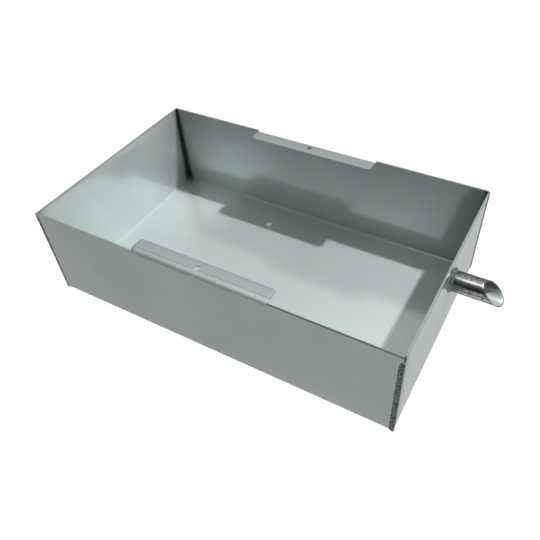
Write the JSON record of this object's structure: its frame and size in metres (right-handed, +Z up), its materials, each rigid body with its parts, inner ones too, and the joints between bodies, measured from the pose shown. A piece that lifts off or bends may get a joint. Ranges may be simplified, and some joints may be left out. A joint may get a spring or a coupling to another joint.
{
  "type": "developing tray",
  "caption": "Rectangular open stainless sheet tray with folded walls, welded corners, inward screw tabs on the long rims and a bevel-cut overflow spout high in an end wall.",
  "frame": {"origin": "centre of the underside of the base, on the surface the tray stands on", "axes": "+X along the length towards the overflow spout, +Y across the width towards the side the spout is offset to, +Z up out of the open mouth"},
  "size_m": [0.3373, 0.179, 0.081],
  "materials": {
    "satin_sheet": "satin cold-rolled stainless sheet, faint green-grey cast",
    "corner_weld": "dark grey uncleaned weld bead",
    "polished_tube": "bright drawn stainless tube with scuffs",
    "ring_weld": "rippled weld fillet with straw heat tint"
  },
  "bodies": {
    "root": {"pan_sheet": "satin_sheet", "weld_front_right": "corner_weld", "weld_back_right": "corner_weld", "weld_front_left": "corner_weld", "weld_back_left": "corner_weld", "overflow_spout": "polished_tube", "spout_weld": "ring_weld"}
  },
  "joints": []
}
